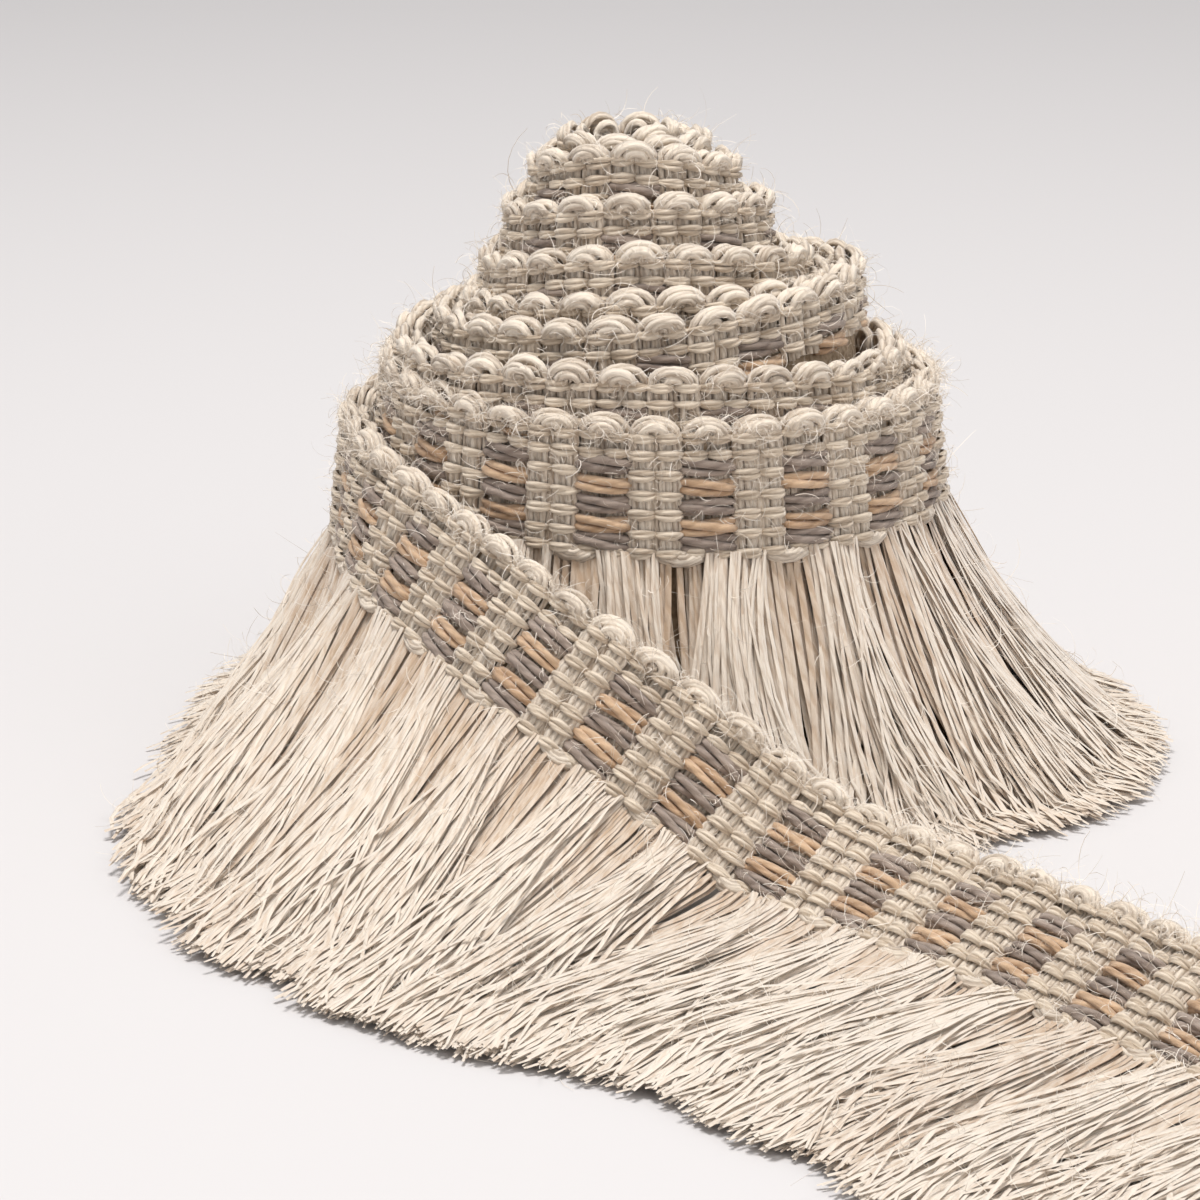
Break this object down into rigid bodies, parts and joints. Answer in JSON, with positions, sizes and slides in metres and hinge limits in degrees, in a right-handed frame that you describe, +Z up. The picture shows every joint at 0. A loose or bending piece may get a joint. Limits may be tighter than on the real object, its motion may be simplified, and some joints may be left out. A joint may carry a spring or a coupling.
{
  "type": "fringe trim",
  "caption": "Woven looped-edge heading in natural yarn with long cut fringe, wound into a stepped cone that stands on its fringe, its loose end running out over the surface.",
  "frame": {"origin": "centre of the roll's flat underside, on the surface that it stands on", "axes": "+Z up along the roll's axis, -Y towards the front, where the loose end runs out to the right"},
  "size_m": [0.2433, 0.3778, 0.128],
  "materials": {
    "heading_yarn": "woven natural yarn, matte, cream with grey and tan floats",
    "fringe_yarn": "cut natural yarn, matte, warm cream"
  },
  "bodies": {
    "root": {"wound_heading": "heading_yarn", "loose_heading": "heading_yarn", "roll_fringe": "fringe_yarn", "loose_fringe": "fringe_yarn"}
  },
  "joints": []
}
